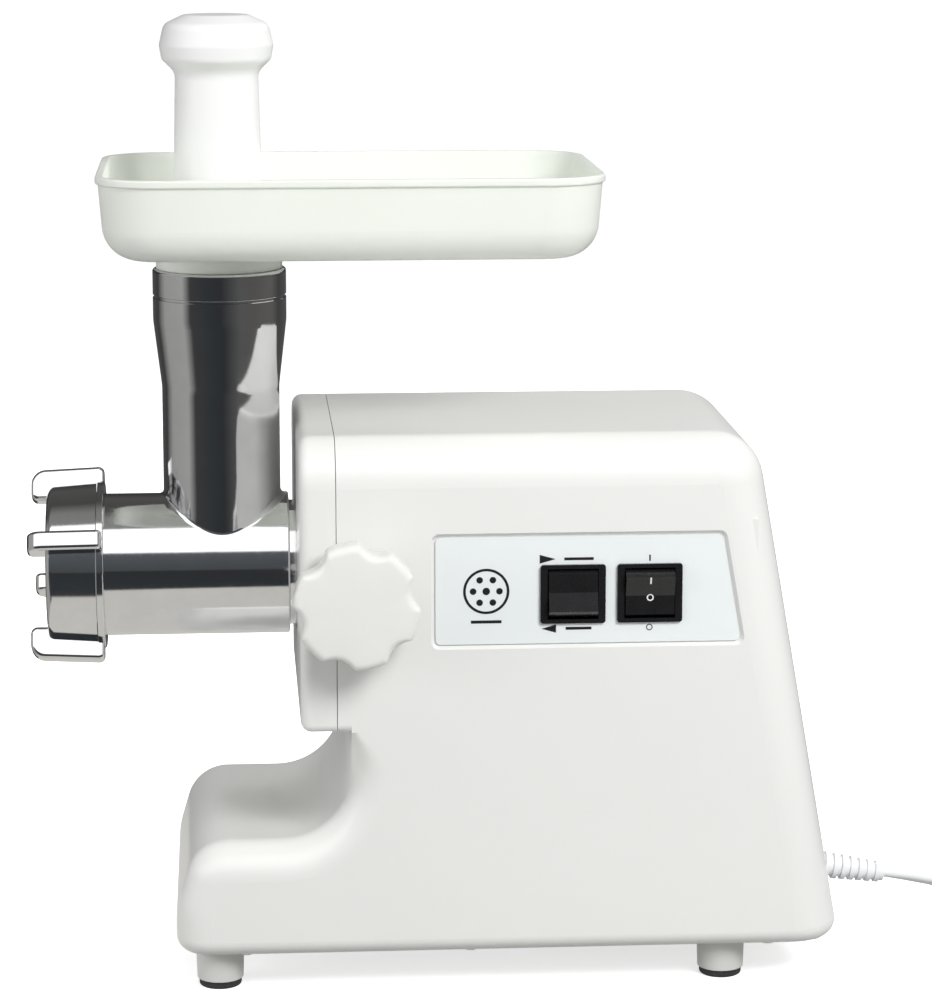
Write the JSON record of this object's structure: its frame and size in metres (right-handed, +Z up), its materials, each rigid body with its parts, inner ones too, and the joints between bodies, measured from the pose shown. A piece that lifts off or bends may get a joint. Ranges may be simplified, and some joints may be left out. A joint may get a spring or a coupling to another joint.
{
  "type": "electric meat grinder",
  "caption": "Countertop electric meat grinder: white motor housing with undercut nose, polished grinding head with finned ring nut, food tray and pusher.",
  "frame": {"origin": "on the table, under the middle of the machine without its cord", "axes": "+Z up, the feed end points to -X, the controls face -Y, the cord leaves at the rear towards +X"},
  "size_m": [0.5275, 0.173, 0.4155],
  "materials": {
    "white_shell": "semi-gloss moulded",
    "base_plastic": "matt moulded",
    "label_film": "smooth printed film",
    "foot_plastic": "semi-gloss moulded",
    "foot_rubber": "moulded",
    "fastener_steel": "zinc plated",
    "switch_black": "semi-gloss moulded",
    "cast_alloy": "as cast",
    "knob_plastic": "satin moulded",
    "gear_nylon": "moulded",
    "gear_steel": "machined",
    "bronze": "sintered",
    "lamination_steel": "stacked laminations",
    "copper_wire": "enamelled copper",
    "carbon": "pressed carbon",
    "spring_steel": "drawn wire",
    "lead_wire": "insulated wire",
    "polished_alloy": "polished",
    "screw_alloy": "cast, tumbled",
    "cutter_steel": "ground",
    "tray_plastic": "semi-gloss moulded",
    "pusher_plastic": "semi-gloss moulded",
    "cord_pvc": "smooth extruded",
    "plug_brass": "nickel plated"
  },
  "bodies": {
    "motor_unit": {"base_plate": "base_plastic", "base_screws": "fastener_steel", "brush_holders": "bronze", "brush_springs": "spring_steel", "carbon_brushes": "carbon", "cord_clamp": "base_plastic", "cord_coil": "cord_pvc", "direction_switch_body": "switch_black", "field_coils": "copper_wire", "first_axle": "gear_steel", "foot_cup_front_far": "foot_plastic", "foot_cup_front_near": "foot_plastic", "foot_cup_rear_far": "foot_plastic", "foot_cup_rear_near": "foot_plastic", "foot_pads": "foot_rubber", "front_cap": "white_shell", "gearbox_case": "cast_alloy", "gearbox_cover": "cast_alloy", "gearbox_screws": "fastener_steel", "head_socket": "cast_alloy", "inner_leads": "lead_wire", "label_plate": "label_film", "main_housing": "white_shell", "motor_bearings": "gear_steel", "motor_bracket_front": "cast_alloy", "motor_bracket_rear": "cast_alloy", "motor_screws": "fastener_steel", "output_bushes": "bronze", "plug_body": "cord_pvc", "plug_pins": "plug_brass", "power_cord": "cord_pvc", "power_switch_body": "switch_black", "second_axle": "gear_steel", "stator_stack": "lamination_steel", "strain_relief": "cord_pvc", "thermal_cutout": "gear_nylon"},
    "grinder_head": {"head_casting": "polished_alloy", "plate_key_pin": "fastener_steel", "screw_bush": "gear_nylon"},
    "feed_screw": {"feed_screw": "screw_alloy", "cross_blade": "cutter_steel"},
    "plate": {"hole_plate": "cutter_steel"},
    "ring_nut": {"ring_nut": "polished_alloy"},
    "tray": {"food_tray": "tray_plastic"},
    "pusher": {"food_pusher": "pusher_plastic"},
    "knob": {"clamp_knob": "knob_plastic", "clamp_screw": "fastener_steel"},
    "power_rocker": {"power_rocker": "switch_black"},
    "direction_rocker": {"direction_rocker": "switch_black"},
    "rotor": {"rotor_shaft": "gear_steel", "motor_pinion": "gear_steel", "armature_core": "lamination_steel", "armature_winding": "copper_wire", "commutator": "copper_wire", "cooling_fan": "gear_nylon"},
    "first_gear": {"first_gear": "gear_nylon"},
    "second_gear": {"second_gear": "gear_steel"},
    "drive": {"drive_coupling": "gear_steel", "output_gear": "gear_steel"}
  },
  "joints": [
    {"name": "head_slide", "type": "slide", "parent": "motor_unit", "child": "grinder_head", "axis": [-1, 0, 0], "range_m": [0, 0.12]},
    {"name": "tray_lift", "type": "slide", "parent": "grinder_head", "child": "tray", "axis": [0, 0, 1], "range_m": [0, 0.08]},
    {"name": "pusher_lift", "type": "slide", "parent": "tray", "child": "pusher", "axis": [0, 0, 1], "range_m": [0, 0.2]},
    {"name": "plate_slide", "type": "slide", "parent": "grinder_head", "child": "plate", "axis": [-1, 0, 0], "range_m": [0, 0.0076]},
    {"name": "nut_spin", "type": "hinge", "parent": "plate", "child": "ring_nut", "pos_m": [-0.154, 0.0115, 0.1755], "axis": [-1, 0, 0], "range_deg": [0, 1080]},
    {"name": "screw_spin", "type": "hinge", "parent": "grinder_head", "child": "feed_screw", "pos_m": [-0.09, 0.0115, 0.1755], "axis": [1, 0, 0], "continuous": true},
    {"name": "knob_turn", "type": "hinge", "parent": "motor_unit", "child": "knob", "pos_m": [-0.0347, -0.0785, 0.175], "axis": [0, -1, 0], "range_deg": [0, 720]},
    {"name": "power_press", "type": "hinge", "parent": "motor_unit", "child": "power_rocker", "pos_m": [0.0903, -0.0591, 0.1753], "axis": [-1, 0, 0], "range_deg": [0, 18]},
    {"name": "direction_press", "type": "hinge", "parent": "motor_unit", "child": "direction_rocker", "pos_m": [0.0576, -0.0591, 0.1753], "axis": [1, 0, 0], "range_deg": [0, 18]},
    {"name": "motor_spin", "type": "hinge", "parent": "motor_unit", "child": "rotor", "pos_m": [0.1, 0.0115, 0.077], "axis": [1, 0, 0], "continuous": true},
    {"name": "first_gear_spin", "type": "hinge", "parent": "motor_unit", "child": "first_gear", "pos_m": [0.035, 0.0115, 0.1131], "axis": [1, 0, 0], "continuous": true},
    {"name": "second_gear_spin", "type": "hinge", "parent": "motor_unit", "child": "second_gear", "pos_m": [0.022, 0.0415, 0.13565], "axis": [1, 0, 0], "continuous": true},
    {"name": "drive_spin", "type": "hinge", "parent": "motor_unit", "child": "drive", "pos_m": [0.017, 0.0115, 0.1755], "axis": [1, 0, 0], "continuous": true}
  ],
  "couplings": [
    {"joint": "first_gear_spin", "follows": "motor_spin", "ratio": -0.2},
    {"joint": "second_gear_spin", "follows": "motor_spin", "ratio": 0.05},
    {"joint": "drive_spin", "follows": "motor_spin", "ratio": -0.013333},
    {"joint": "screw_spin", "follows": "motor_spin", "ratio": -0.013333},
    {"joint": "plate_slide", "follows": "nut_spin", "m_per_rad": 0.00039789}
  ]
}
